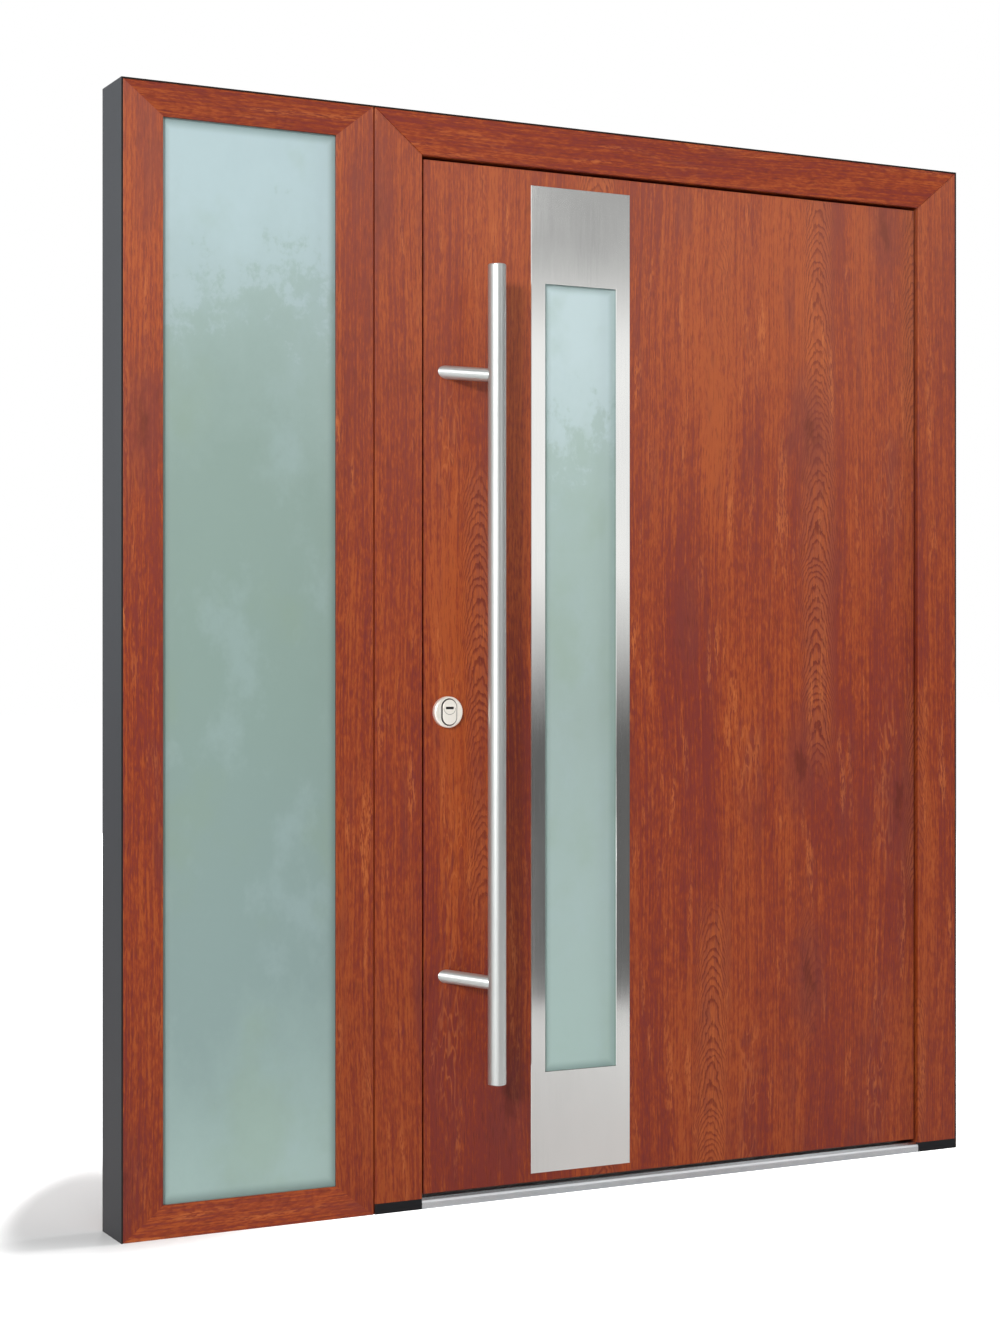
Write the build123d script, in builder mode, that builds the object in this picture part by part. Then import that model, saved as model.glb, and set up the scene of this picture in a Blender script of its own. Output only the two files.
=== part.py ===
"""Exterior door set: an inward-opening leaf in a mitred frame, coupled to a fixed glazed sidelight.

Millimetres. X runs to the right as seen from outside, Y into the house and Z up. The origin lies on the
underside of the sill, at the middle of the overall width and of the frame's depth.
"""

import os

from build123d import *

# Overall sizes
overall_height = 2100.0
sidelight_width = 493.0
door_width = 1367.0
frame_depth = 110.0
edge_strip = 3.0
coupling_width = 4.0
coupling_recess = 5.0
profile_radius = 1.5
mitre_groove = 2.0

# Door frame profile, with the rebate that the leaf's lip closes into
jamb_face = 98.0
head_face = 81.0
rebate_width = 22.0
frame_nose = 6.0
foot_height = 20.0
frame_seal_width = 8.0
frame_seal_height = 3.0
frame_seal_inset = 2.0

# Sill between the two feet
sill_nose_slope = 8.0
sill_nose_drop = 7.0
sill_nose_radius = 1.5
sill_break_width = 22.0
sill_break_depth = 6.0
sill_rib_pitch = 8.0
sill_rib_count = 3
sill_rib_width = 2.5
sill_rib_depth = 1.2

# Sidelight profile
stile_face = 76.0
rail_face = 61.0
stile_rebate = 18.0
side_glass_recess = 8.0
bead_joint = 0.4

# Insulating glass
pane_thickness = 6.0
pane_cavity = 36.0
pane_clearance = 3.0
spacer_inset = 2.0
spacer_width = 8.0
glass_seal = 3.0
glass_seal_set_back = 1.0

# Leaf, with a lip on the house side that overlaps the frame
leaf_recess = 8.0
lip_thickness = 40.0
skin = 2.0
skin_bevel = 1.0
bottom_seal_width = 10.0
bottom_seal_root = 6.0
bottom_seal_drop = 1.5

# Clearances between the leaf and the frame; the outer corner on the lock side swings out as it opens,
# into a relief behind the nose of the post
latch_gap = 6.0
swing_relief = 5.5
hinge_gap = 5.0
head_gap = 6.0
sill_gap = 6.5
lip_gap = 8.0
stop_gap = 8.0
fit = 0.3

# Steel surround and tall window of the leaf
plate_offset = 233.0
plate_width = 224.0
plate_bottom_margin = 16.5
plate_top_margin = 29.0
plate_thickness = 2.0
plate_bevel = 0.8
surround_lip = 1.5
window_side_band = 32.0
window_bottom_band = 198.0
window_top_band = 191.0
window_bite = 15.0
trim_flange = 34.0
trim_thickness = 3.0

# Pull bar on two slanting stays
bar_diameter = 35.0
bar_stand_off = 72.0
bar_bottom_margin = 211.5
bar_top_margin = 203.0
bar_chamfer = 1.5
stay_inset = 203.0
stay_rise = 10.0
stay_diameter = 26.0
stay_neck_diameter = 14.0
stay_seat = 8.0

# Lock and inside furniture
backset = 50.0
lock_height = 950.0
lever_rise = 92.0
rosette_diameter = 60.0
rosette_thickness = 11.0
rosette_bevel = 2.5
shield_width = 30.0
shield_height = 49.0
shield_proud = 3.0
shield_bevel = 1.0
shield_groove = 1.5
key_slot_width = 17.0
key_slot_height = 4.6
key_slot_depth = 8.0
key_slot_rise = 8.0
shield_arc_radius = 12.0
shield_arc_width = 1.0
shield_arc_depth = 0.8
cylinder_radius = 8.5
cylinder_tail = 10.0
cylinder_height = 33.0
cylinder_proud = 2.0
rose_diameter = 52.0
rose_thickness = 9.0
rose_bevel = 2.0
lever_diameter = 19.0
lever_reach = 50.0
lever_length = 125.0
lever_end_bevel = 2.0

# Lock rail on the edge of the leaf and the keeps in the post
faceplate_width = 24.0
faceplate_thickness = 3.0
faceplate_margin = 150.0
latch_height = 30.0
latch_width = 14.0
bolt_proud = 2.0
keep_length = 200.0
keep_spread = 700.0
keep_hole_height = 60.0
keep_hole_width = 15.0
keep_hole_depth = 16.0

# Barrel hinges on the house side
hinge_height = 120.0
hinge_end_margin = 230.0
hinge_stand_off = 16.0
knuckle_radius = 11.0
knuckle_share = 0.4
knuckle_gap = 1.0
pin_radius = 5.0
pin_fit = 0.1
pin_head = 4.0
pin_head_bevel = 1.5
hinge_plate_start = 14.0
hinge_plate_end = 58.0
hinge_plate_thickness = 6.0
hinge_arm_root = 26.0
hinge_arm_half = 8.0

# Positions worked out from the sizes
overall_width = 2 * edge_strip + sidelight_width + coupling_width + door_width
left = -overall_width / 2
right = overall_width / 2
front = -frame_depth / 2
back = frame_depth / 2
top = overall_height - edge_strip
side_left = left + edge_strip
side_right = side_left + sidelight_width
door_left = side_right + coupling_width
door_right = right - edge_strip

opening_left = door_left + jamb_face
opening_right = door_right - jamb_face
opening_top = top - head_face
reveal_left = opening_left - swing_relief
head_rebate = rebate_width * head_face / jamb_face

leaf_front = front + leaf_recess
leaf_back = back
lip_front = leaf_back - lip_thickness
stop = lip_front - stop_gap
core_front = leaf_front + skin
core_back = leaf_back - skin
leaf_left = opening_left + latch_gap
leaf_right = opening_right - hinge_gap
leaf_bottom = foot_height + sill_gap
leaf_top = opening_top - head_gap
lip_left = opening_left - rebate_width + lip_gap
lip_right = opening_right + rebate_width - lip_gap
lip_top = opening_top + head_rebate - lip_gap

# Rectangles are given as left, right, bottom and top, seen from outside
leaf_face = (leaf_left, leaf_right, leaf_bottom, leaf_top)
lip_face = (lip_left, lip_right, leaf_bottom, lip_top)
plate_left = leaf_left + plate_offset
plate_face = (
    plate_left,
    plate_left + plate_width,
    leaf_bottom + plate_bottom_margin,
    leaf_top - plate_top_margin,
)
window = (
    plate_face[0] + window_side_band,
    plate_face[1] - window_side_band,
    plate_face[2] + window_bottom_band,
    plate_face[3] - window_top_band,
)
rail_rebate = stile_rebate * rail_face / stile_face
side_lip_back = front + side_glass_recess - glass_seal
side_window = (side_left + stile_face, side_right - stile_face, rail_face, top - rail_face)
side_bite = stile_rebate - pane_clearance
side_rail_bite = rail_rebate - pane_clearance

lock_x = leaf_left + backset
lever_height = lock_height + lever_rise
bar_x = lock_x + bar_stand_off
bar_y = leaf_front - bar_stand_off
bar_bottom = leaf_bottom + bar_bottom_margin
bar_top = leaf_top - bar_top_margin
stay_heights = {
    "lower": bar_bottom + stay_inset - stay_rise,
    "upper": bar_top - stay_inset - stay_rise,
}
bar_to_leaf = Vector(-bar_stand_off, bar_stand_off, stay_rise)

latch_edge_y = (core_front + lip_front) / 2
keep_heights = (lock_height - keep_spread, lock_height, lock_height + keep_spread)
hinge_x = opening_right + rebate_width - lip_gap / 2
hinge_y = back + hinge_stand_off
knuckle = hinge_height * knuckle_share
hinge_low = leaf_bottom + hinge_end_margin
hinge_high = leaf_top - hinge_end_margin
hinge_heights = {"lower": hinge_low, "middle": (hinge_low + hinge_high) / 2, "upper": hinge_high}

os.makedirs("parts", exist_ok=True)


def save(piece, label):
    """Name a finished piece and write it to its own file."""
    piece.part.label = label
    export_step(piece.part, f"parts/{label}.step")


def facing(y):
    """Drawing plane at depth y as seen from outside, with its normal toward the street."""
    return Plane.XZ.offset(-y)


def grown(rect, across, up):
    """Rectangle made wider by across and taller by up on each side."""
    return (rect[0] - across, rect[1] + across, rect[2] - up, rect[3] + up)


def middle(rect):
    """Centre of a rectangle."""
    return ((rect[0] + rect[1]) / 2, (rect[2] + rect[3]) / 2)


def spans(rect):
    """Width and height of a rectangle."""
    return (rect[1] - rect[0], rect[3] - rect[2])


def mitre(x, z, hand, rise, upright_face, level_face):
    """Cutting plane through a frame corner; its normal points into the level member."""
    return Plane(
        origin=(x, 0, z),
        x_dir=(0, 1, 0),
        z_dir=(hand * level_face, 0, rise * upright_face),
    )


def across_mitre(x, hand):
    """Drawing plane square to the V groove along an upper mitre of the door frame."""
    return Plane(origin=(x, front, top), x_dir=(0, 1, 0), z_dir=(hand * jamb_face, 0, -head_face))


def sheet(rect, y_front, y_back, hole=None):
    """Flat rectangular piece between two depths, with a rectangular hole where one is given."""
    with BuildPart() as piece:
        with BuildSketch(facing(y_back)):
            with Locations(middle(rect)):
                Rectangle(*spans(rect))
            if hole:
                with Locations(middle(hole)):
                    Rectangle(*spans(hole), mode=Mode.SUBTRACT)
        extrude(amount=y_back - y_front)
    return piece


def frame_jamb(outer, hand):
    """Mitred post of the door frame; hand is 1 for the lock side and -1 for the hinge side."""
    inner = outer + hand * jamb_face
    seat = inner - hand * rebate_width
    with BuildPart() as post:
        with BuildSketch(Plane.XY.offset(foot_height)) as profile:
            with BuildLine():
                Polyline(
                    (outer, front),
                    (inner, front),
                    (inner, stop),
                    (seat, stop),
                    (seat, back),
                    (outer, back),
                    close=True,
                )
            make_face()
            fillet(profile.vertices().group_by(Axis.Y)[0], radius=profile_radius)
            fillet(profile.vertices().group_by(Axis.Y)[-1], radius=profile_radius)
            if hand > 0:
                with Locations((inner - swing_relief / 2, (front + frame_nose + stop) / 2)):
                    Rectangle(swing_relief, stop - front - frame_nose, mode=Mode.SUBTRACT)
        extrude(amount=top - foot_height)
        split(bisect_by=mitre(outer, top, hand, 1, jamb_face, head_face), keep=Keep.BOTTOM)
        with BuildSketch(across_mitre(outer, hand)):
            Rectangle(mitre_groove, mitre_groove, rotation=45)
        extrude(amount=2 * jamb_face, mode=Mode.SUBTRACT)
        if hand > 0:
            with Locations(*[(reveal_left, latch_edge_y, z) for z in keep_heights]):
                Box(
                    2 * faceplate_thickness,
                    faceplate_width + 2 * fit,
                    keep_length + 2 * fit,
                    mode=Mode.SUBTRACT,
                )
                Box(2 * keep_hole_depth, keep_hole_width, keep_hole_height, mode=Mode.SUBTRACT)
    return post


def frame_foot(outer, hand):
    """Plastic block that a post of the door frame stands on."""
    with BuildPart() as foot:
        with BuildSketch(Plane.XY):
            with Locations((outer + hand * jamb_face / 2, 0)):
                RectangleRounded(jamb_face, frame_depth, profile_radius)
        extrude(amount=foot_height)
    return foot


def side_stile(outer, hand):
    """Mitred upright of the sidelight; hand is 1 for the wall side and -1 for the door side."""
    inner = outer + hand * stile_face
    seat = inner - hand * stile_rebate
    with BuildPart() as stile:
        with BuildSketch(Plane.XY) as profile:
            with BuildLine():
                Polyline(
                    (outer, front),
                    (inner, front),
                    (inner, side_lip_back),
                    (seat, side_lip_back),
                    (seat, back),
                    (outer, back),
                    close=True,
                )
            make_face()
            fillet(profile.vertices().group_by(Axis.Y)[0], radius=profile_radius)
            fillet(profile.vertices().group_by(Axis.Y)[-1], radius=profile_radius)
        extrude(amount=top)
        split(bisect_by=mitre(outer, top, hand, 1, stile_face, rail_face), keep=Keep.BOTTOM)
        split(bisect_by=mitre(outer, 0, hand, -1, stile_face, rail_face), keep=Keep.BOTTOM)
    return stile


def side_rail(outer, rise):
    """Mitred rail of the sidelight; rise is 1 for the top and -1 for the bottom."""
    inner = outer - rise * rail_face
    seat = inner + rise * rail_rebate
    with BuildPart() as rail:
        with BuildSketch(Plane.YZ.offset(side_left)) as profile:
            with BuildLine():
                Polyline(
                    (front, outer),
                    (front, inner),
                    (side_lip_back, inner),
                    (side_lip_back, seat),
                    (back, seat),
                    (back, outer),
                    close=True,
                )
            make_face()
            fillet(profile.vertices().group_by(Axis.X)[0], radius=profile_radius)
            fillet(profile.vertices().group_by(Axis.X)[-1], radius=profile_radius)
        extrude(amount=sidelight_width)
        split(bisect_by=mitre(side_left, outer, 1, rise, stile_face, rail_face), keep=Keep.TOP)
        split(bisect_by=mitre(side_right, outer, -1, rise, stile_face, rail_face), keep=Keep.TOP)
    return rail


def insulating_glass(opening, bite, level_bite, y_front):
    """Outer pane, spacer ring and inner pane of a sealed unit that fills an opening and its rebates."""
    unit = grown(opening, bite, level_bite)
    ring = grown(unit, -spacer_inset, -spacer_inset)
    clear = grown(ring, -spacer_width, -spacer_width)
    y_cavity = y_front + pane_thickness
    y_inner = y_cavity + pane_cavity
    return (
        sheet(unit, y_front, y_cavity),
        sheet(ring, y_cavity, y_inner, clear),
        sheet(unit, y_inner, y_inner + pane_thickness),
    )


def cylinder_profile(margin):
    """Outline of the lock cylinder as a private sketch, larger by a margin, for the piece and its holes."""
    tail_radius = cylinder_tail / 2
    tail_z = lock_height + cylinder_radius - cylinder_height + tail_radius
    with BuildSketch(facing(leaf_back), mode=Mode.PRIVATE) as outline:
        with Locations((lock_x, lock_height)):
            Circle(cylinder_radius + margin)
        with Locations((lock_x, (lock_height + tail_z) / 2)):
            Rectangle(cylinder_tail + 2 * margin, lock_height - tail_z)
        with Locations((lock_x, tail_z)):
            Circle(tail_radius + margin)
    return outline.sketch


def pull_stay(height):
    """Slanting round stay, hollowed to the bar's roundness at one end and cut off flat on the leaf."""
    axis = Plane(origin=(bar_x, bar_y, height), x_dir=(0, 0, 1), z_dir=bar_to_leaf)
    with BuildPart() as stay:
        with BuildSketch(axis):
            Circle(stay_diameter / 2)
        extrude(amount=2 * bar_stand_off)
        with BuildSketch(Plane.XY.offset(bar_bottom)):
            with Locations((bar_x, bar_y)):
                Circle(bar_diameter / 2 + fit)
        extrude(amount=bar_top - bar_bottom, mode=Mode.SUBTRACT)
        with BuildSketch(axis.offset(stay_seat)):
            Circle(stay_neck_diameter / 2)
        extrude(amount=bar_diameter / 2)
        split(bisect_by=facing(leaf_front), keep=Keep.TOP)
    return stay


def hinge_plate_outline(hand):
    """Section of a hinge plate as a private sketch; hand is 1 for the frame and -1 for the leaf."""
    with BuildSketch(Plane.XY, mode=Mode.PRIVATE) as section:
        plate_x = hinge_x + hand * (hinge_plate_start + hinge_plate_end) / 2
        with Locations((plate_x, back + hinge_plate_thickness / 2)):
            Rectangle(hinge_plate_end - hinge_plate_start, hinge_plate_thickness)
    return section.sketch


def hinge_arm_outline(hand):
    """Section of a hinge knuckle with its arm as a private sketch."""
    with BuildSketch(Plane.XY, mode=Mode.PRIVATE) as section:
        with BuildLine():
            Polyline(
                (hinge_x, hinge_y - hinge_arm_half),
                (hinge_x + hand * hinge_plate_start, back),
                (hinge_x + hand * hinge_arm_root, back),
                (hinge_x + hand * hinge_arm_root, back + hinge_plate_thickness),
                (hinge_x, hinge_y + hinge_arm_half),
                close=True,
            )
        make_face()
        with Locations((hinge_x, hinge_y)):
            Circle(knuckle_radius)
    return section.sketch


def hinge_frame_half(height):
    """Plate with the two end knuckles and the fixed pin, with a round head over the top knuckle."""
    low = height - hinge_height / 2
    end = (hinge_height - knuckle) / 2 - knuckle_gap
    with BuildPart() as half:
        extrude(Pos(0, 0, low) * hinge_plate_outline(1), amount=hinge_height)
        for start in (low, low + hinge_height - end):
            extrude(Pos(0, 0, start) * hinge_arm_outline(1), amount=end)
        with BuildSketch(Plane.XY.offset(low)):
            with Locations((hinge_x, hinge_y)):
                Circle(pin_radius)
        extrude(amount=hinge_height)
        with BuildSketch(Plane.XY.offset(low + hinge_height)):
            with Locations((hinge_x, hinge_y)):
                Circle(knuckle_radius)
        extrude(amount=pin_head)
        chamfer(half.edges().group_by(Axis.Z)[-1], length=pin_head_bevel)
    return half


def hinge_leaf_half(height):
    """Plate with the middle knuckle, bored to turn on the pin."""
    with BuildPart() as half:
        extrude(Pos(0, 0, height - hinge_height / 2) * hinge_plate_outline(-1), amount=hinge_height)
        extrude(Pos(0, 0, height - knuckle / 2) * hinge_arm_outline(-1), amount=knuckle)
        with Locations((hinge_x, hinge_y, height)):
            Cylinder(pin_radius + pin_fit, hinge_height, mode=Mode.SUBTRACT)
    return half


# Door frame: two posts on feet, the head, the sill and the seal round the stop
save(frame_jamb(door_left, 1), "lock_jamb")
save(frame_jamb(door_right, -1), "hinge_jamb")
save(frame_foot(door_left, 1), "lock_jamb_foot")
save(frame_foot(door_right, -1), "hinge_jamb_foot")

with BuildPart() as head:
    with BuildSketch(Plane.YZ.offset(door_left)) as head_profile:
        with BuildLine():
            Polyline(
                (front, top),
                (front, opening_top),
                (stop, opening_top),
                (stop, opening_top + head_rebate),
                (back, opening_top + head_rebate),
                (back, top),
                close=True,
            )
        make_face()
        fillet(head_profile.vertices().group_by(Axis.X)[0], radius=profile_radius)
        fillet(head_profile.vertices().group_by(Axis.X)[-1], radius=profile_radius)
    extrude(amount=door_width)
    split(bisect_by=mitre(door_left, top, 1, 1, jamb_face, head_face), keep=Keep.TOP)
    split(bisect_by=mitre(door_right, top, -1, 1, jamb_face, head_face), keep=Keep.TOP)
    for corner, side in ((door_left, 1), (door_right, -1)):
        with BuildSketch(across_mitre(corner, side)):
            Rectangle(mitre_groove, mitre_groove, rotation=45)
        extrude(amount=2 * jamb_face, mode=Mode.SUBTRACT)
save(head, "frame_head")

with BuildPart() as sill:
    with BuildSketch(Plane.YZ.offset(opening_left)) as sill_profile:
        with BuildLine():
            Polyline(
                (front, 0),
                (front, foot_height - sill_nose_drop),
                (front + sill_nose_slope, foot_height),
                (back, foot_height),
                (back, 0),
                close=True,
            )
        make_face()
        fillet(sill_profile.vertices().group_by(Axis.Y)[1], radius=sill_nose_radius)
        with Locations((0, foot_height - sill_break_depth / 2)):
            Rectangle(sill_break_width, sill_break_depth, mode=Mode.SUBTRACT)
        with Locations((back - sill_rib_pitch * (sill_rib_count + 1) / 2, foot_height)):
            with GridLocations(sill_rib_pitch, 0, sill_rib_count, 1):
                Rectangle(sill_rib_width, 2 * sill_rib_depth, mode=Mode.SUBTRACT)
    extrude(amount=opening_right - opening_left)
save(sill, "sill")

with BuildPart() as sill_break:
    with BuildSketch(Plane.YZ.offset(opening_left)):
        with Locations((0, foot_height - sill_break_depth / 2)):
            Rectangle(sill_break_width, sill_break_depth)
    extrude(amount=opening_right - opening_left)
save(sill_break, "sill_break")

seal_inner = (
    reveal_left - frame_seal_inset,
    opening_right + frame_seal_inset,
    0,
    opening_top + frame_seal_inset,
)
seal_outer = grown(seal_inner, frame_seal_width, frame_seal_width)
with BuildPart() as frame_seal:
    with BuildSketch(facing(stop + frame_seal_height)):
        with Locations(middle(seal_outer)):
            Rectangle(*spans(seal_outer))
        with Locations(middle(seal_inner)):
            Rectangle(*spans(seal_inner), mode=Mode.SUBTRACT)
        with Locations((0, 0)):
            Rectangle(2 * overall_width, 2 * foot_height, mode=Mode.SUBTRACT)
    extrude(amount=frame_seal_height)
    fillet(
        frame_seal.edges().group_by(Axis.Y)[-1].filter_by(Axis.Z),
        radius=frame_seal_height / 2,
    )
save(frame_seal, "frame_seal")

with BuildPart() as keeps:
    with BuildSketch(Plane.YZ.offset(reveal_left - faceplate_thickness)):
        with Locations(*[(latch_edge_y, z) for z in keep_heights]):
            Rectangle(faceplate_width, keep_length)
            Rectangle(keep_hole_width, keep_hole_height, mode=Mode.SUBTRACT)
    extrude(amount=faceplate_thickness)
save(keeps, "lock_keeps")

# Grey strips on the wall side of the set, and the coupling strip in the joint with the sidelight
save(sheet((left, side_left, 0, top), front, back), "left_edge_strip")
save(sheet((door_right, right, 0, top), front, back), "right_edge_strip")
save(sheet((left, right, top, overall_height), front, back), "top_edge_strip")
save(
    sheet((side_right, door_left, 0, top), front + coupling_recess, back - coupling_recess),
    "coupling_strip",
)

# Sidelight: four mitred profiles, the seal, the sealed glass unit and the beads on the house side
save(side_stile(side_left, 1), "sidelight_left_stile")
save(side_stile(side_right, -1), "sidelight_right_stile")
save(side_rail(top, 1), "sidelight_top_rail")
save(side_rail(0, -1), "sidelight_bottom_rail")

side_unit = grown(side_window, side_bite, side_rail_bite)
side_glass_front = front + side_glass_recess
side_glass_back = side_glass_front + 2 * pane_thickness + pane_cavity
save(
    sheet(
        side_unit,
        side_lip_back,
        side_glass_front,
        grown(side_window, glass_seal_set_back, glass_seal_set_back),
    ),
    "sidelight_seal",
)
side_panes = insulating_glass(side_window, side_bite, side_rail_bite, side_glass_front)
for pane, pane_name in zip(side_panes, ("outer_pane", "spacer", "inner_pane")):
    save(pane, f"sidelight_{pane_name}")

bead_outer = grown(side_window, stile_rebate, rail_rebate)
level_beads = (
    (side_window[0], side_window[1], bead_outer[2], side_window[2]),
    (side_window[0], side_window[1], side_window[3], bead_outer[3]),
)
upright_beads = (
    (bead_outer[0], side_window[0] - bead_joint, bead_outer[2], bead_outer[3]),
    (side_window[1] + bead_joint, bead_outer[1], bead_outer[2], bead_outer[3]),
)
with BuildPart() as side_beads:
    with BuildSketch(facing(back)):
        for bead in level_beads + upright_beads:
            with Locations(middle(bead)):
                Rectangle(*spans(bead))
    extrude(amount=back - side_glass_back)
save(side_beads, "sidelight_beads")

# Leaf: core with its lip, two skins, lock pockets and the seal along the bottom
core_window = grown(window, window_bite + pane_clearance, window_bite + pane_clearance)
lip_edge = grown(window, surround_lip, surround_lip)
lip_hole = grown(lip_edge, fit, fit)
faceplate_face = (leaf_bottom + faceplate_margin, leaf_top - faceplate_margin)
faceplate_middle = (faceplate_face[0] + faceplate_face[1]) / 2
faceplate_length = faceplate_face[1] - faceplate_face[0]

with BuildPart() as core:
    with BuildSketch(facing(lip_front)):
        with Locations(middle(leaf_face)):
            Rectangle(*spans(leaf_face))
    extrude(amount=lip_front - core_front)
    with BuildSketch(facing(core_back)):
        with Locations(middle(lip_face)):
            Rectangle(*spans(lip_face))
    extrude(amount=core_back - lip_front)
    with BuildSketch(facing(core_back)):
        with Locations(middle(core_window)):
            Rectangle(*spans(core_window))
    extrude(amount=frame_depth, mode=Mode.SUBTRACT)
    extrude(cylinder_profile(fit), amount=2 * frame_depth, both=True, mode=Mode.SUBTRACT)
    with Locations((leaf_left, latch_edge_y, faceplate_middle)):
        Box(
            2 * faceplate_thickness,
            faceplate_width + 2 * fit,
            faceplate_length + 2 * fit,
            mode=Mode.SUBTRACT,
        )
    with Locations(((leaf_left + leaf_right) / 2, latch_edge_y, leaf_bottom)):
        Box(
            leaf_right - leaf_left,
            bottom_seal_width,
            2 * bottom_seal_root,
            mode=Mode.SUBTRACT,
        )
save(core, "leaf_core")

with BuildPart() as outer_skin:
    with BuildSketch(facing(core_front)):
        with Locations(middle(leaf_face)):
            Rectangle(*spans(leaf_face))
        with Locations(middle(lip_hole)):
            Rectangle(*spans(lip_hole), mode=Mode.SUBTRACT)
    extrude(amount=skin)
    chamfer(outer_skin.faces().sort_by(Axis.Y)[0].outer_wire().edges(), length=skin_bevel)
    extrude(cylinder_profile(fit), amount=2 * frame_depth, both=True, mode=Mode.SUBTRACT)
save(outer_skin, "leaf_outer_skin")

with BuildPart() as inner_skin:
    with BuildSketch(facing(leaf_back)):
        with Locations(middle(lip_face)):
            Rectangle(*spans(lip_face))
        with Locations(middle(core_window)):
            Rectangle(*spans(core_window), mode=Mode.SUBTRACT)
    extrude(amount=skin)
    extrude(cylinder_profile(fit), amount=2 * frame_depth, both=True, mode=Mode.SUBTRACT)
save(inner_skin, "leaf_inner_skin")

with BuildPart() as bottom_seal:
    with Locations(((leaf_left + leaf_right) / 2, latch_edge_y, leaf_bottom - bottom_seal_drop)):
        Box(
            leaf_right - leaf_left,
            bottom_seal_width,
            bottom_seal_root + bottom_seal_drop,
            align=(Align.CENTER, Align.CENTER, Align.MIN),
        )
save(bottom_seal, "leaf_bottom_seal")

# Window of the leaf: bevelled steel surround whose lip turns in to the glass, seal, sealed glass unit
# and the trim on the house side
window_glass_front = core_front + glass_seal
with BuildPart() as surround:
    with BuildSketch(facing(leaf_front)):
        with Locations(middle(plate_face)):
            Rectangle(*spans(plate_face))
        with Locations(middle(window)):
            Rectangle(*spans(window), mode=Mode.SUBTRACT)
    extrude(amount=plate_thickness)
    chamfer(surround.edges().group_by(Axis.Y)[0], length=plate_bevel)
    with BuildSketch(facing(window_glass_front - fit)):
        with Locations(middle(lip_edge)):
            Rectangle(*spans(lip_edge))
        with Locations(middle(window)):
            Rectangle(*spans(window), mode=Mode.SUBTRACT)
    extrude(amount=window_glass_front - fit - leaf_front)
save(surround, "window_surround")

window_unit = grown(window, window_bite, window_bite)
save(
    sheet(
        window_unit,
        core_front,
        window_glass_front,
        lip_hole,
    ),
    "window_seal",
)
window_panes = insulating_glass(window, window_bite, window_bite, window_glass_front)
for pane, pane_name in zip(window_panes, ("outer_pane", "spacer", "inner_pane")):
    save(pane, f"window_{pane_name}")

window_glass_back = window_glass_front + 2 * pane_thickness + pane_cavity
trim_insert = grown(core_window, -fit, -fit)
trim_edge = grown(window, trim_flange, trim_flange)
with BuildPart() as inner_trim:
    with BuildSketch(facing(leaf_back)):
        with Locations(middle(trim_insert)):
            Rectangle(*spans(trim_insert))
        with Locations(middle(window)):
            Rectangle(*spans(window), mode=Mode.SUBTRACT)
    extrude(amount=leaf_back - window_glass_back)
    with BuildSketch(facing(leaf_back + trim_thickness)):
        with Locations(middle(trim_edge)):
            Rectangle(*spans(trim_edge))
        with Locations(middle(window)):
            Rectangle(*spans(window), mode=Mode.SUBTRACT)
    extrude(amount=trim_thickness)
    chamfer(inner_trim.edges().group_by(Axis.Y)[-1], length=plate_bevel)
save(inner_trim, "window_inner_trim")

# Pull bar and its two stays
with BuildPart() as pull_bar:
    with BuildSketch(Plane.XY.offset(bar_bottom)):
        with Locations((bar_x, bar_y)):
            Circle(bar_diameter / 2)
    extrude(amount=bar_top - bar_bottom)
    chamfer(pull_bar.edges().filter_by(GeomType.CIRCLE), length=bar_chamfer)
    for stay_height in stay_heights.values():
        stay_axis = Plane(origin=(bar_x, bar_y, stay_height), x_dir=(0, 0, 1), z_dir=bar_to_leaf)
        with BuildSketch(stay_axis.offset(stay_seat)):
            Circle(stay_neck_diameter / 2 + fit)
        extrude(amount=bar_diameter, mode=Mode.SUBTRACT)
save(pull_bar, "pull_bar")
for place, stay_height in stay_heights.items():
    save(pull_stay(stay_height), f"pull_stay_{place}")

# Outside of the lock: round rosette and the oval shield with the key slot
with BuildPart() as rosette:
    with BuildSketch(facing(leaf_front)):
        with Locations((lock_x, lock_height)):
            Circle(rosette_diameter / 2)
    extrude(amount=rosette_thickness)
    chamfer(rosette.edges().group_by(Axis.Y)[0], length=rosette_bevel)
    with BuildSketch(facing(leaf_front)):
        with Locations((lock_x, lock_height)):
            SlotOverall(shield_height + 2 * shield_groove, shield_width + 2 * shield_groove, rotation=90)
    extrude(amount=2 * rosette_thickness, mode=Mode.SUBTRACT)
save(rosette, "lock_rosette")

shield_face = leaf_front - rosette_thickness - shield_proud
slot_z = lock_height + key_slot_rise
with BuildPart() as shield:
    with BuildSketch(facing(leaf_front)):
        with Locations((lock_x, lock_height)):
            SlotOverall(shield_height, shield_width, rotation=90)
    extrude(amount=rosette_thickness + shield_proud)
    chamfer(shield.edges().group_by(Axis.Y)[0], length=shield_bevel)
    with BuildSketch(facing(shield_face + key_slot_depth)):
        with Locations((lock_x, slot_z)):
            Rectangle(key_slot_width, key_slot_height)
    extrude(amount=2 * key_slot_depth, mode=Mode.SUBTRACT)
    with BuildSketch(facing(shield_face + shield_arc_depth)):
        with Locations((lock_x, slot_z)):
            Circle(shield_arc_radius + shield_arc_width)
            Circle(shield_arc_radius, mode=Mode.SUBTRACT)
            Rectangle(
                3 * shield_arc_radius,
                3 * shield_arc_radius,
                align=(Align.CENTER, Align.MIN),
                mode=Mode.SUBTRACT,
            )
    extrude(amount=2 * shield_arc_depth, mode=Mode.SUBTRACT)
save(shield, "lock_shield")

with BuildPart() as lock_cylinder:
    cylinder_back = leaf_back + rose_thickness + cylinder_proud
    extrude(
        Pos(0, cylinder_back - leaf_back, 0) * cylinder_profile(0),
        amount=cylinder_back - leaf_front,
    )
save(lock_cylinder, "lock_cylinder")

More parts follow.
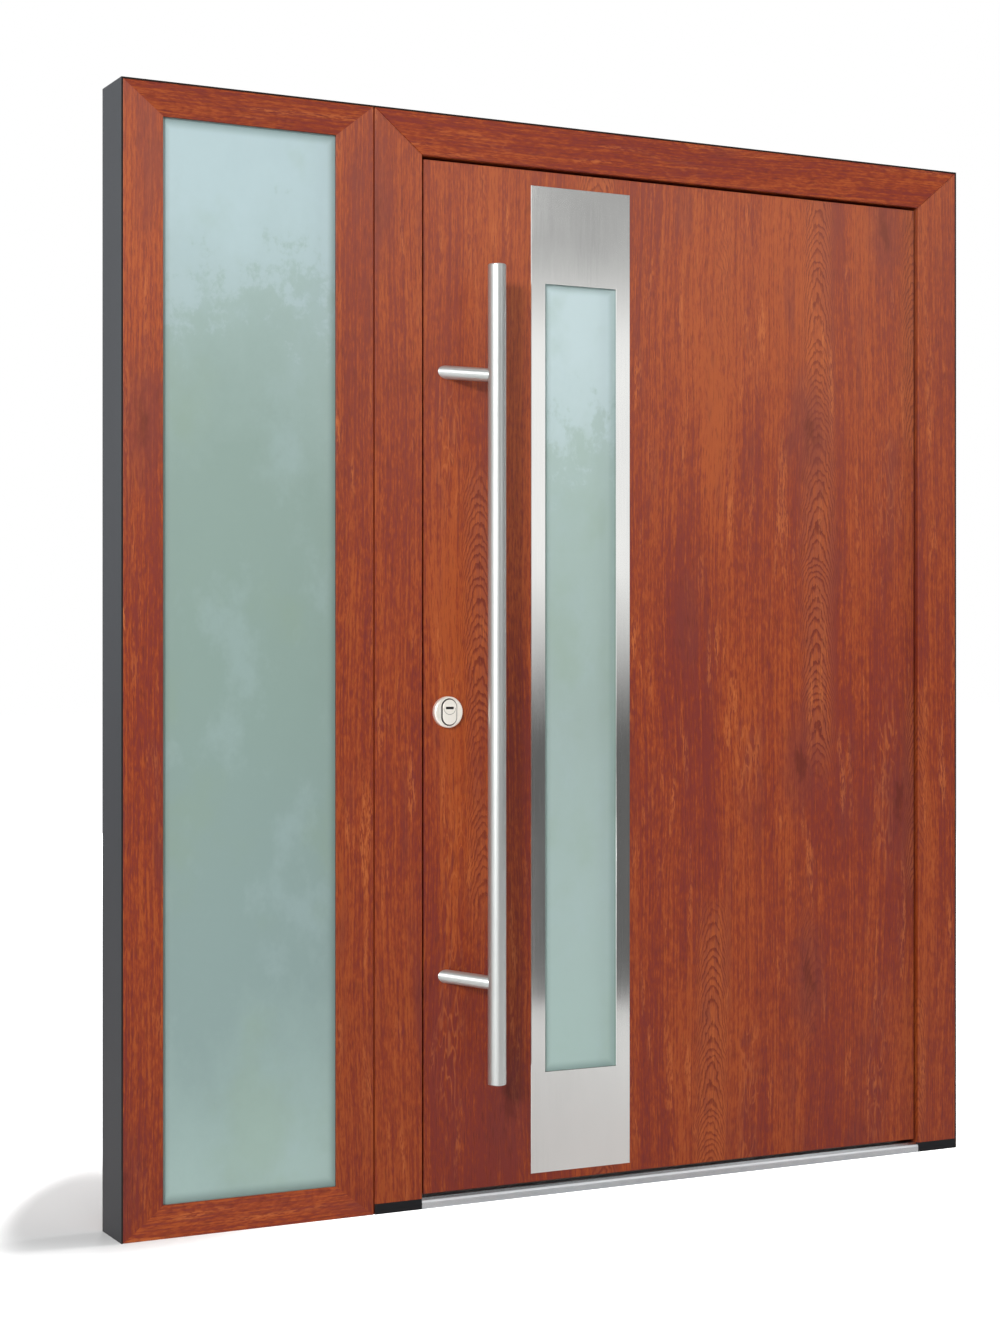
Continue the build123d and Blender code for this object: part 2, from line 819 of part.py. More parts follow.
# Inside of the lock: two roses and the mitred lever
with BuildPart() as roses:
    with BuildSketch(facing(leaf_back + rose_thickness)):
        with Locations((lock_x, lock_height), (lock_x, lever_height)):
            Circle(rose_diameter / 2)
    extrude(amount=rose_thickness)
    chamfer(roses.edges().group_by(Axis.Y)[-1], length=rose_bevel)
    with BuildSketch(facing(leaf_back + rose_thickness)):
        with Locations((lock_x, lever_height)):
            Circle(lever_diameter / 2 + fit)
    extrude(amount=rose_thickness, mode=Mode.SUBTRACT)
    extrude(cylinder_profile(fit), amount=2 * rose_thickness, both=True, mode=Mode.SUBTRACT)
save(roses, "inside_roses")

with BuildPart() as lever:
    with BuildLine():
        Polyline(
            (lock_x, leaf_back, lever_height),
            (lock_x, leaf_back + lever_reach, lever_height),
            (lock_x + lever_length, leaf_back + lever_reach, lever_height),
        )
    with BuildSketch(facing(leaf_back)):
        with Locations((lock_x, lever_height)):
            Circle(lever_diameter / 2)
    sweep(transition=Transition.RIGHT)
    chamfer(lever.edges().group_by(Axis.X)[-1], length=lever_end_bevel)
save(lever, "inside_lever")

# Lock rail on the leaf's edge, with the latch and the dead bolt drawn back
bolt_heights = (lever_height, lock_height)
with BuildPart() as faceplate:
    with BuildSketch(Plane.YZ.offset(leaf_left)):
        with Locations((latch_edge_y, faceplate_middle)):
            RectangleRounded(faceplate_width, faceplate_length, faceplate_thickness)
        with Locations(*[(latch_edge_y, z) for z in bolt_heights]):
            Rectangle(latch_width + 2 * fit, latch_height + 2 * fit, mode=Mode.SUBTRACT)
    extrude(amount=faceplate_thickness)
save(faceplate, "lock_faceplate")
with BuildPart() as bolts:
    with Locations(*[(leaf_left - bolt_proud, latch_edge_y, z) for z in bolt_heights]):
        Box(
            faceplate_thickness + bolt_proud,
            latch_width,
            latch_height,
            align=(Align.MIN, Align.CENTER, Align.CENTER),
        )
    chamfer(bolts.edges().group_by(Axis.X)[0].filter_by(Axis.Z), length=bolt_proud / 2)
save(bolts, "lock_bolts")

# Hinges: a half on the frame with the pin, and a half on the leaf
for place, hinge_z in hinge_heights.items():
    save(hinge_frame_half(hinge_z), f"{place}_hinge_frame_half")
    save(hinge_leaf_half(hinge_z), f"{place}_hinge_leaf_half")
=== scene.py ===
import math

import bmesh
import bpy
from mathutils import Matrix, Vector


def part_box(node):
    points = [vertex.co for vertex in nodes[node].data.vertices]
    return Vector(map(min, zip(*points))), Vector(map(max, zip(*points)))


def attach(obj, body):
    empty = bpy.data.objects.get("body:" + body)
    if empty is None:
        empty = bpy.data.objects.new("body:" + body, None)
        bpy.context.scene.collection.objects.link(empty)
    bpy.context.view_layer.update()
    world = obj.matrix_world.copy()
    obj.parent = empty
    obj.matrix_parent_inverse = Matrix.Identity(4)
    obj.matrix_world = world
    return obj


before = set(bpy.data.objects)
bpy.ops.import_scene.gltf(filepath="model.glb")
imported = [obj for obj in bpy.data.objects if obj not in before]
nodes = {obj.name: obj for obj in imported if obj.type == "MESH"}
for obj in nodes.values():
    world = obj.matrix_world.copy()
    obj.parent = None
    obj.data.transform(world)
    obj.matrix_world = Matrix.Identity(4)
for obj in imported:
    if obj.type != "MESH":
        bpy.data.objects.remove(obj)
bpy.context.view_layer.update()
scene = bpy.context.scene
scene.view_settings.view_transform = "Standard"


def srgb(r, g, b):
    """Linear colour from the 0 to 255 values of a display colour."""
    return tuple(((v / 255 + 0.055) / 1.055) ** 2.4 for v in (r, g, b))


class Surface:
    """One node material, written with short calls."""

    def __init__(self, name):
        self.mat = bpy.data.materials.new(name)
        self.mat.use_nodes = True
        self.tree = self.mat.node_tree
        self.bsdf = self.tree.nodes["Principled BSDF"]
        coords = self.tree.nodes.new("ShaderNodeTexCoord").outputs["Object"]
        parts = self.tree.nodes.new("ShaderNodeSeparateXYZ")
        self.tree.links.new(coords, parts.inputs[0])
        self.x, self.y, self.z = parts.outputs

    def put(self, socket, value):
        if isinstance(value, bpy.types.NodeSocket):
            self.tree.links.new(value, socket)
        elif isinstance(value, tuple) and len(value) == 3 and socket.type == "RGBA":
            socket.default_value = (*value, 1.0)
        else:
            socket.default_value = value

    def math(self, operation, *values):
        node = self.tree.nodes.new("ShaderNodeMath")
        node.operation = operation
        for socket, value in zip(node.inputs, values):
            self.put(socket, value)
        return node.outputs[0]

    def add(self, first, *others):
        for other in others:
            first = self.math("ADD", first, other)
        return first

    def less(self, a, b):
        return self.math("SUBTRACT", a, b)

    def times(self, first, *others):
        for other in others:
            first = self.math("MULTIPLY", first, other)
        return first

    def swing(self, value, amount):
        """Noise value shifted to swing about zero by an amount."""
        return self.times(self.less(value, 0.5), amount)

    def step(self, value, start, end):
        """Smooth rise from 0 at start to 1 at end; start may be the larger one."""
        node = self.tree.nodes.new("ShaderNodeMapRange")
        node.interpolation_type = "SMOOTHSTEP"
        falling = start > end
        low, high = (end, start) if falling else (start, end)
        result = (1.0, 0.0) if falling else (0.0, 1.0)
        for socket, item in zip(node.inputs, (value, low, high, *result)):
            self.put(socket, item)
        return node.outputs[0]

    def noise(self, x, y, z, detail=2.0, roughness=0.5, distortion=0.0):
        place = self.tree.nodes.new("ShaderNodeCombineXYZ")
        for socket, value in zip(place.inputs, (x, y, z)):
            self.put(socket, value)
        node = self.tree.nodes.new("ShaderNodeTexNoise")
        self.tree.links.new(place.outputs[0], node.inputs["Vector"])
        node.inputs["Scale"].default_value = 1.0
        node.inputs["Detail"].default_value = detail
        node.inputs["Roughness"].default_value = roughness
        node.inputs["Distortion"].default_value = distortion
        return node.outputs["Fac"]

    def ramp(self, value, stops):
        node = self.tree.nodes.new("ShaderNodeValToRGB")
        items = node.color_ramp.elements
        while len(items) < len(stops):
            items.new(0.5)
        for item, (place, colour) in zip(items, stops):
            item.position = place
            item.color = (*colour, 1.0)
        self.put(node.inputs[0], value)
        return node.outputs[0]

    def mix(self, share, a, b):
        node = self.tree.nodes.new("ShaderNodeMix")
        node.data_type = "RGBA"
        self.put(node.inputs[0], share)
        self.put(node.inputs[6], a)
        self.put(node.inputs[7], b)
        return node.outputs[2]

    def bump(self, height, strength, distance):
        node = self.tree.nodes.new("ShaderNodeBump")
        node.inputs["Strength"].default_value = strength
        node.inputs["Distance"].default_value = distance
        self.put(node.inputs["Height"], height)
        self.put(self.bsdf.inputs["Normal"], node.outputs[0])

    def set(self, **values):
        for key, value in values.items():
            self.put(self.bsdf.inputs[key.replace("_", " ")], value)


# Wood decor
WOOD_PLUM = srgb(117, 45, 36)
WOOD_RED = srgb(129, 51, 28)
WOOD_BROWN = srgb(142, 60, 28)
WOOD_ORANGE = srgb(156, 73, 31)
WOOD_GOLD = srgb(190, 106, 54)
WOOD_SEAM = srgb(88, 32, 21)
WOOD_SMUDGE = srgb(110, 47, 41)
WOOD_PAINTED_SHEEN = srgb(238, 165, 133)
WOOD_PAINTED_SHADE = srgb(70, 12, 4)


def wood(name, level, shift_u, shift_v, calm, shade_share, figure):
    """Oak decor stained red-brown: soft bands, straight fibres, pores, arched columns, flames and knots."""
    s = Surface(name)
    across, along = (s.z, s.x) if level else (s.x, s.z)
    u = s.add(across, s.times(s.y, 0.8), shift_u)
    v = s.add(along, shift_v)

    # Ground: broad bands, mottling, long fibres, short dashes and plum smudges
    wander = s.noise(s.times(u, 2.2), s.times(v, 0.8), 1.7)
    u1 = s.add(u, s.swing(wander, 0.07))
    ripple = s.noise(s.times(u, 11.0), s.times(v, 3.4), 4.9)
    u2 = s.add(u1, s.swing(ripple, 0.010))
    bands = s.noise(s.times(u1, 9.0), s.times(v, 1.2), 3.3, 2.0, 0.5)
    mottle = s.noise(s.times(u1, 60.0), s.times(v, 22.0), 6.1, 3.0, 0.6)
    lines = s.noise(s.times(u2, 260.0), s.times(v, 2.2), 5.2, 2.0, 0.6)
    dash = s.noise(s.times(u2, 380.0), s.times(v, 60.0), 0.4, 2.0, 0.6)
    drift = s.add(s.swing(bands, calm), s.swing(mottle, 0.36))
    tone = s.add(0.5, drift, s.swing(lines, 0.86), s.swing(dash, 0.84))
    shade = s.ramp(
        tone,
        ((0.32, WOOD_PLUM), (0.45, WOOD_RED), (0.56, WOOD_BROWN), (0.70, WOOD_ORANGE)),
    )
    smudge = s.noise(s.times(u1, 15.0), s.times(v, 2.6), 2.2, 3.0, 0.6)
    shade = s.mix(s.times(s.step(smudge, 0.54, 0.74), 0.60), shade, WOOD_SMUDGE)

    # Arched growth rings in upright columns
    column = s.math("PINGPONG", u1, 0.13)
    jag = s.noise(s.times(u, 90.0), s.times(v, 40.0), 2.0, 3.0, 0.55)
    lift = s.noise(s.times(u, 2.5), s.times(v, 5.0), 7.0, 2.0)
    arch = s.times(column, column, 2800.0)
    ring = s.add(s.times(v, 44.0), arch, s.swing(lift, 9.0), s.swing(jag, 1.5))
    phase = s.math("FRACT", ring)
    late = s.times(s.step(phase, 0.45, 0.85), s.step(phase, 1.0, 0.90))
    here = s.step(s.noise(s.times(u, 3.1), s.times(v, 2.0), 8.3, 1.0), 0.46, 0.58)
    arched = s.times(s.step(column, 0.056, 0.020), here)
    shade = s.mix(s.times(arched, s.less(1.0, late), 0.26 * figure), shade, WOOD_GOLD)
    shade = s.mix(s.times(arched, late, 0.46 * figure), shade, WOOD_SEAM)

    # Golden flames between the columns, and streaks of gold along the fibres
    lane = s.step(s.math("PINGPONG", s.add(u1, 0.27), 0.17), 0.040, 0.008)
    lane = s.times(lane, s.step(s.noise(s.times(u, 2.3), s.times(v, 2.6), 9.4, 2.0), 0.48, 0.62))
    flame = s.noise(s.times(u2, 75.0), s.times(v, 13.0), 1.1, 1.0, 0.5, 0.9)
    ridge = s.math("ABSOLUTE", s.less(flame, 0.5))
    shade = s.mix(s.times(lane, s.step(ridge, 0.06, 0.005), 0.38 * figure), shade, WOOD_GOLD)
    shade = s.mix(s.times(lane, s.step(flame, 0.55, 0.70), 0.50 * figure), shade, WOOD_SMUDGE)
    gleam = s.step(s.noise(s.times(u1, 42.0), s.times(v, 4.0), 6.6, 2.0, 0.6), 0.58, 0.74)
    shade = s.mix(s.times(gleam, s.step(dash, 0.40, 0.60), 0.55), shade, WOOD_GOLD)

    # Scattered small knots
    cell = s.tree.nodes.new("ShaderNodeTexVoronoi")
    cell.voronoi_dimensions = "2D"
    spot = s.tree.nodes.new("ShaderNodeCombineXYZ")
    s.put(spot.inputs[0], s.times(u1, 4.4))
    s.put(spot.inputs[1], s.times(v, 1.7))
    s.put(cell.inputs["Vector"], spot.outputs[0])
    cell.inputs["Scale"].default_value = 1.0
    pick = s.tree.nodes.new("ShaderNodeSeparateColor")
    s.put(pick.inputs[0], cell.outputs["Color"])
    chosen = s.step(pick.outputs[0], 0.60, 0.66)
    ragged = s.add(cell.outputs["Distance"], s.swing(jag, 0.10), s.swing(mottle, 0.20))
    shade = s.mix(s.times(chosen, s.step(ragged, 0.30, 0.05), 0.60), shade, WOOD_SMUDGE)
    shade = s.mix(s.times(chosen, s.step(ragged, 0.09, 0.01), 0.60), shade, WOOD_SEAM)

    # Pores, painted sheen that pales the top, painted shade that darkens the foot, and painted shade over
    # the whole piece
    pores = s.step(s.noise(s.times(u2, 400.0), s.times(v, 26.0), 0.9, 1.0), 0.56, 0.70)
    shade = s.mix(s.times(pores, 0.36), shade, WOOD_SEAM)
    if not level:
        # Painted sheen: upright pieces turn paler towards the top, standing in for a soft reflection
        shade = s.mix(s.times(s.step(s.z, 0.9, 2.1), 0.085), shade, WOOD_PAINTED_SHEEN)
        # Painted shade: upright pieces turn darker towards the foot
        shade = s.mix(s.times(s.step(s.z, 1.0, 0.0), 0.16), shade, WOOD_PAINTED_SHADE)
    # Painted shade over the whole piece, by its given share
    shade = s.mix(shade_share, shade, WOOD_PAINTED_SHADE)

    s.set(Base_Color=shade, Roughness=s.add(0.36, s.times(dash, 0.16)), Specular_IOR_Level=0.2)
    relief = s.less(s.times(lines, 0.5), s.add(s.times(pores, 0.8), s.times(arched, late, 0.4)))
    s.bump(relief, 0.25, 0.0006)
    return s.mat


# Metal, coatings and glass
PAINTED_RECESS_SHADE = srgb(20, 19, 18)
JOINT_AND_SHADE_TINT = srgb(30, 20, 17)
PAINTED_EDGE_HIGHLIGHT = (0.58, 0.60, 0.62)


def brushed(name, colour, rough, along, shadow=None, metal=1.0, bite=0.06, highlight_edge=None):
    """Brushed or satin metal: fine lines along one axis, soft smears, painted shade in recesses and pale
    edges with a painted highlight.
    """
    s = Surface(name)
    fine, run = 900.0, 7.0
    scale = [run if axis == along else fine for axis in "XYZ"]
    line = s.noise(s.times(s.x, scale[0]), s.times(s.y, scale[1]), s.times(s.z, scale[2]), 3.0, 0.65)
    smear = s.noise(s.times(s.x, 7.0), s.times(s.y, 7.0), s.times(s.z, 3.0), 3.0, 0.6)
    tone = s.add(0.5, s.swing(line, 0.30), s.swing(smear, 0.35))
    low = tuple(c * 0.88 for c in colour)
    high = tuple(min(c * 1.08, 1.0) for c in colour)
    shade = s.ramp(tone, ((0.3, low), (0.5, colour), (0.7, high)))
    # Painted shade in recesses, where given
    if shadow:
        shade = s.mix(shadow(s), shade, PAINTED_RECESS_SHADE)
    # Painted highlight: a pale, less metallic edge, where given
    if highlight_edge:
        edge = highlight_edge(s)
        shade = s.mix(edge, shade, PAINTED_EDGE_HIGHLIGHT)
        metal = s.times(s.less(1.0, s.times(edge, 0.85)), metal)
    s.set(Base_Color=shade, Metallic=metal)
    s.set(Roughness=s.add(rough, s.swing(line, 0.10), s.swing(smear, 0.08)))
    s.bump(line, bite, 0.0003)
    return s.mat


def coated(name, colour, rough, grain, vary, shadow=None):
    """Coated or moulded surface: fine grain with slight drift in tone, and a dark tint where given."""
    s = Surface(name)
    drift = s.noise(s.times(s.x, 3.0), s.times(s.y, 8.0), s.times(s.z, 1.2), 3.0, 0.6)
    peel = s.noise(s.times(s.x, grain), s.times(s.y, grain), s.times(s.z, grain))
    low = tuple(c * (1 - vary) for c in colour)
    high = tuple(c * (1 + vary) for c in colour)
    tone = s.add(s.times(drift, 0.7), s.times(peel, 0.3))
    shade = s.ramp(tone, ((0.3, low), (0.5, colour), (0.7, high)))
    if shadow:
        # Dark joints and painted shade, where given
        shade = s.mix(shadow(s), shade, JOINT_AND_SHADE_TINT)
    s.set(Base_Color=shade, Roughness=s.add(rough, s.swing(peel, 0.2)), Specular_IOR_Level=0.22)
    s.bump(peel, 0.15, 0.0004)
    return s.mat


def frosted(name, pane, bite, stops):
    """Etched pane: pale blue-green, with a painted view of sky, trees and lawn seen through and reflected
    in it, cloudy greens below, and painted shade along the edge of the opening.
    """
    low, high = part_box(pane)
    s = Surface(name)
    # Painted view of sky, trees and lawn seen through and reflected in the pane
    rise = s.math("DIVIDE", s.less(s.z, low[2]), high[2] - low[2])
    cloud = s.noise(s.times(s.x, 3.4), s.y, s.times(s.z, 2.0), 2.0, 0.5)
    leafy = s.noise(s.times(s.x, 24.0), s.y, s.times(s.z, 19.0), 6.0, 0.68)
    level = s.add(rise, s.swing(cloud, 0.30), s.swing(leafy, 0.10))
    shade = s.ramp(level, stops)
    lean = s.times(s.less(s.x, low[0]), -0.30)
    edge_of_trees = s.add(rise, lean, s.swing(cloud, 0.5), s.swing(leafy, 0.55))
    trees = s.times(s.step(edge_of_trees, 0.81, 0.73), s.step(rise, 0.20, 0.55))
    shade = s.mix(s.times(trees, 0.30), shade, srgb(124, 146, 128))
    gap = s.noise(s.times(s.x, 6.0), s.y, s.times(s.z, 4.2), 6.0, 0.66)
    shade = s.mix(s.times(s.step(gap, 0.50, 0.68), 0.26), shade, srgb(158, 178, 182))
    lawn = s.noise(s.times(s.x, 4.0), s.y, s.times(s.z, 3.3), 4.0, 0.6)
    shade = s.mix(s.times(s.step(lawn, 0.50, 0.66), 0.26), shade, srgb(132, 152, 128))
    # Painted shade along the edge of the opening
    side = s.math("MINIMUM", s.less(s.x, low[0] + bite), s.less(high[0] - bite, s.x))
    ends = s.math("MINIMUM", s.less(s.z, low[2] + bite), s.less(high[2] - bite, s.z))
    edge = s.math("MINIMUM", side, ends)
    shade = s.mix(s.times(s.step(edge, 0.018, 0.0), 0.55), shade, srgb(106, 128, 124))
    grain = s.noise(s.times(s.x, 900.0), s.times(s.y, 900.0), s.times(s.z, 900.0))
    s.set(Base_Color=shade, Roughness=s.add(0.30, s.swing(grain, 0.12)), Specular_IOR_Level=0.4)
    s.bump(grain, 0.05, 0.0002)
    return s.mat


def clear_glass(name):
    """Clear pane with a faint green tint and smears."""
    s = Surface(name)
    smear = s.noise(s.times(s.x, 9.0), s.times(s.y, 9.0), s.times(s.z, 5.0), 3.0)
    shade = s.ramp(smear, ((0.3, srgb(228, 239, 235)), (0.7, srgb(240, 247, 244))))
    s.set(Base_Color=shade, Roughness=s.times(smear, 0.06), Transmission_Weight=0.9, IOR=1.5)
    return s.mat


def dress(mat, *names):
    for name in names:
        mesh = nodes[name].data
        mesh.materials.clear()
        mesh.materials.append(mat)


# Lock recesses, painted dark as shade, placed from the shield's own box
shield_low, shield_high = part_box("lock_shield")
lock_x = (shield_low[0] + shield_high[0]) / 2
lock_z = (shield_low[2] + shield_high[2]) / 2
SHIELD_RADIUS = (shield_high[0] - shield_low[0]) / 2
SHIELD_STRAIGHT = (shield_high[2] - shield_low[2]) / 2 - SHIELD_RADIUS
GROOVE_WIDTH = 0.0015


def shield_recess(s):
    """Walls of the key slot and the groove, behind the shield's face, where shade is painted dark."""
    return s.step(s.y, shield_low[1] + 0.0004, shield_low[1] + 0.0010)


def rosette_recess(s):
    """Wall of the rosette round the shield, where shade is painted dark."""
    up = s.math("MAXIMUM", s.less(s.math("ABSOLUTE", s.less(s.z, lock_z)), SHIELD_STRAIGHT), 0.0)
    side = s.less(s.x, lock_x)
    reach = s.math("SQRT", s.add(s.times(up, up), s.times(side, side)))
    wall = SHIELD_RADIUS + GROOVE_WIDTH
    return s.step(reach, wall + 0.0006, wall + 0.0002)


# The sixth value of each piece is its share of painted shade.
dress(wood("wood_leaf", False, 3.10, 0.20, 0.95, 0.06, 1.0), "leaf_outer_skin")
dress(wood("wood_leaf_inside", False, 7.65, 4.35, 0.95, 0.06, 1.0), "leaf_inner_skin")
dress(wood("wood_lock_jamb", False, 1.37, 2.10, 0.6, 0.08, 0.5), "lock_jamb")
dress(wood("wood_hinge_jamb", False, 5.21, 6.40, 0.6, 0.12, 0.7), "hinge_jamb")
dress(wood("wood_head", True, 2.83, 1.15, 0.5, 0.06, 0.4), "frame_head")
dress(wood("wood_side_left", False, 9.12, 3.30, 0.6, 0.0, 0.7), "sidelight_left_stile")
dress(wood("wood_side_right", False, 4.48, 7.70, 0.6, 0.08, 0.7), "sidelight_right_stile")
dress(wood("wood_side_top", True, 6.05, 5.25, 0.4, 0.14, 0.2), "sidelight_top_rail")
dress(wood("wood_side_bottom", True, 8.57, 2.60, 0.4, 0.0, 0.2), "sidelight_bottom_rail")
dress(wood("wood_edge", False, 5.73, 8.15, 0.6, 0.0, 0.2), "leaf_core")
dress(wood("wood_beads", False, 0.66, 9.40, 0.4, 0.05, 0.4), "sidelight_beads")

frame_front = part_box("lock_jamb")[0][1]


def strip_tint(s):
    """Joint between the grey strips and the wood decor of the front, and painted shade that darkens the
    foot.
    """
    joint = s.step(s.y, frame_front + 0.0012, frame_front + 0.0004)
    # Painted shade: darker towards the foot
    return s.math("MAXIMUM", joint, s.times(s.step(s.z, 1.5, 0.0), 0.44))


dress(
    coated("grey_coating", srgb(57, 60, 65), 0.5, 1600.0, 0.10, strip_tint),
    "left_edge_strip",
    "right_edge_strip",
    "top_edge_strip",
)
dress(coated("red_brown_coating", srgb(150, 62, 34), 0.6, 1600.0, 0.12), "coupling_strip")
dress(
    coated("black_plastic", srgb(16, 17, 20), 0.55, 1100.0, 0.2),
    "lock_jamb_foot",
    "hinge_jamb_foot",
    "sill_break",
)
dress(
    coated("black_rubber", srgb(24, 24, 25), 0.75, 2200.0, 0.15),
    "frame_seal",
    "sidelight_seal",
    "window_seal",
    "leaf_bottom_seal",
)

STEEL = (0.84, 0.84, 0.82)
dress(brushed("steel_plate", STEEL, 0.10, "Z"), "window_surround", "window_inner_trim")
SATIN = (0.58, 0.60, 0.59)
dress(brushed("steel_bar", SATIN, 0.34, "Z", metal=0.8, bite=0.02), "pull_bar")
dress(
    brushed("steel_stay", SATIN, 0.30, "X", metal=0.75, bite=0.02),
    "pull_stay_upper",
    "pull_stay_lower",
    "inside_lever",
)
dress(
    brushed("steel_fittings", STEEL, 0.24, "X"),
    "inside_roses",
    "lock_faceplate",
    "lock_keeps",
    "lock_bolts",
)
WARM_STEEL = (0.95, 0.90, 0.82)
dress(brushed("rosette_steel", WARM_STEEL, 0.30, "X", rosette_recess, 0.5), "lock_rosette")
dress(brushed("shield_steel", WARM_STEEL, 0.30, "Z", shield_recess, 0.5), "lock_shield")
dress(
    brushed("steel_hinge", SATIN, 0.34, "Z", metal=0.8, bite=0.02),
    "upper_hinge_frame_half",
    "middle_hinge_frame_half",
    "lower_hinge_frame_half",
    "upper_hinge_leaf_half",
    "middle_hinge_leaf_half",
    "lower_hinge_leaf_half",
)
dress(brushed("lock_nickel", srgb(190, 184, 170), 0.32, "Y"), "lock_cylinder")
ALUMINIUM = (0.61, 0.64, 0.66)
dress(brushed("spacer_aluminium", ALUMINIUM, 0.22, "X"), "sidelight_spacer", "window_spacer")

NOSE_EDGE_DROP, NOSE_EDGE_WIDTH = 0.0064, 0.003
sill_low, sill_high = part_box("sill")


def nose_edge(s):
    """Rounded edge of the sill's nose, between its slope and its front, where a pale highlight is painted.
    """
    off = s.math("ABSOLUTE", s.less(s.z, sill_high[2] - NOSE_EDGE_DROP))
    back = s.less(s.y, sill_low[1])
    level = s.step(off, NOSE_EDGE_WIDTH, NOSE_EDGE_WIDTH / 3)
    return s.times(level, s.step(back, 2 * NOSE_EDGE_WIDTH, NOSE_EDGE_WIDTH))


dress(brushed("sill_aluminium", ALUMINIUM, 0.22, "X", highlight_edge=nose_edge), "sill")

GLASS_BITE = 0.015
# Tones of each pane from foot to top, holding the painted view of sky and garden
SIDE_TONES = (
    (0.03, srgb(151, 174, 169)),
    (0.22, srgb(131, 152, 149)),
    (0.48, srgb(133, 154, 150)),
    (0.66, srgb(137, 157, 153)),
    (0.82, srgb(157, 176, 176)),
    (0.95, srgb(166, 186, 189)),
)
WINDOW_TONES = (
    (0.05, srgb(152, 174, 169)),
    (0.45, srgb(153, 170, 168)),
    (0.70, srgb(161, 180, 178)),
    (0.92, srgb(177, 195, 197)),
)
dress(frosted("frosted_sidelight", "sidelight_outer_pane", GLASS_BITE, SIDE_TONES), "sidelight_outer_pane")
dress(frosted("frosted_window", "window_outer_pane", GLASS_BITE, WINDOW_TONES), "window_outer_pane")
dress(clear_glass("clear_glass"), "sidelight_inner_pane", "window_inner_pane")


# Screws of the hinges, the keeps and the lock rail
def screw_head(mesh, centre, normal, radius, height):
    """Countersunk head with a rounded rim and a hexagon socket."""
    sides = 24
    socket = 0.5 * radius
    place = Matrix.Translation(centre) @ normal.to_track_quat("Z", "Y").to_matrix().to_4x4()

    def ring(size, level, hexagon=False):
        loop = []
        for index in range(sides):
            angle = 2 * math.pi * index / sides
            reach = size
            if hexagon:
                reach = size * math.cos(math.pi / 6) / math.cos(angle % (math.pi / 3) - math.pi / 6)
            spot = Vector((reach * math.cos(angle), reach * math.sin(angle), level))
            loop.append(mesh.verts.new(place @ spot))
        return loop

    loops = [
        ring(radius, 0.0),
        ring(radius, 0.3 * height),
        ring(0.92 * radius, 0.8 * height),
        ring(0.80 * radius, height),
        ring(socket, height, True),
        ring(socket, 0.2 * height, True),
    ]
    for lower, upper in zip(loops, loops[1:]):
        for index in range(sides):
            after = (index + 1) % sides
            mesh.faces.new((lower[index], lower[after], upper[after], upper[index]))
    mesh.faces.new(loops[-1])
    mesh.faces.new(list(reversed(loops[0])))


def screws(name, body, places, normal, radius, height):
    mesh = bmesh.new()
    for place in places:
        screw_head(mesh, Vector(place), Vector(normal), radius, height)
    data = bpy.data.meshes.new(name)
    mesh.to_mesh(data)
    mesh.free()
    data.materials.append(screw_steel)
    made = bpy.data.objects.new(name, data)
    scene.collection.objects.link(made)
    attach(made, body)


screw_steel = brushed("screw_steel", (0.66, 0.66, 0.64), 0.28, "X")
HINGE_PLATE, HINGE_SCREW, HINGE_SCREW_INSET, HINGE_SCREW_END = 0.006, 0.0048, 0.022, 0.016
for body, hand in (("frame", 1), ("leaf", -1)):
    spots = []
    for place in ("upper", "middle", "lower"):
        low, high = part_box(f"{place}_hinge_{body}_half")
        edge = high[0] if hand > 0 else low[0]
        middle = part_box(f"{place}_hinge_leaf_half")
        bottom, top = middle[0][2], middle[1][2]
        for level in (bottom + HINGE_SCREW_END, (bottom + top) / 2, top - HINGE_SCREW_END):
            spots.append((edge - hand * HINGE_SCREW_INSET, low[1] + HINGE_PLATE, level))
    screws(f"hinge_screws_{body}", body, spots, (0, 1, 0), HINGE_SCREW, 0.0010)

RAIL_SCREW, RAIL_SCREW_INSET, RAIL_SCREWS = 0.0035, 0.012, 8
low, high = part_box("lock_faceplate")
rail_pitch = (high[2] - low[2] - 2 * RAIL_SCREW_INSET) / (RAIL_SCREWS - 1)
rail_y = (low[1] + high[1]) / 2
spots = [(low[0], rail_y, low[2] + RAIL_SCREW_INSET + index * rail_pitch) for index in range(RAIL_SCREWS)]
screws("lock_rail_screws", "leaf", spots, (-1, 0, 0), RAIL_SCREW, 0.0005)

KEEP_LENGTH = 0.2
low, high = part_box("lock_keeps")
keep_y = (low[1] + high[1]) / 2
spots = []
for middle in (low[2] + KEEP_LENGTH / 2, (low[2] + high[2]) / 2, high[2] - KEEP_LENGTH / 2):
    for side in (-1, 1):
        spots.append((high[0], keep_y, middle + side * (KEEP_LENGTH / 2 - RAIL_SCREW_INSET)))
screws("keep_screws", "frame", spots, (1, 0, 0), RAIL_SCREW, 0.0005)


# Studio: four soft lamps, a white world, a pale floor and grey cards that show only in reflections
def lamp(name, place, target, size, power):
    data = bpy.data.lights.new(name, "AREA")
    data.shape = "SQUARE"
    data.size = size
    data.energy = power
    made = bpy.data.objects.new(name, data)
    scene.collection.objects.link(made)
    made.location = place
    made.rotation_euler = (Vector(target) - Vector(place)).to_track_quat("-Z", "Y").to_euler()
    return made


lamp("key", (-8.0, -7.6, 4.6), (0.0, 0.0, 1.0), 1.8, 1000.0)
lamp("top", (-1.2, -3.0, 4.4), (0.0, 0.0, 1.0), 1.5, 25.0)
lamp("back", (3.0, 9.5, 1.7), (0.0, 0.0, 1.0), 2.0, 520.0).visible_glossy = False
lamp("right", (6.0, -0.5, 2.6), (0.0, 0.0, 0.6), 2.0, 520.0).visible_glossy = False

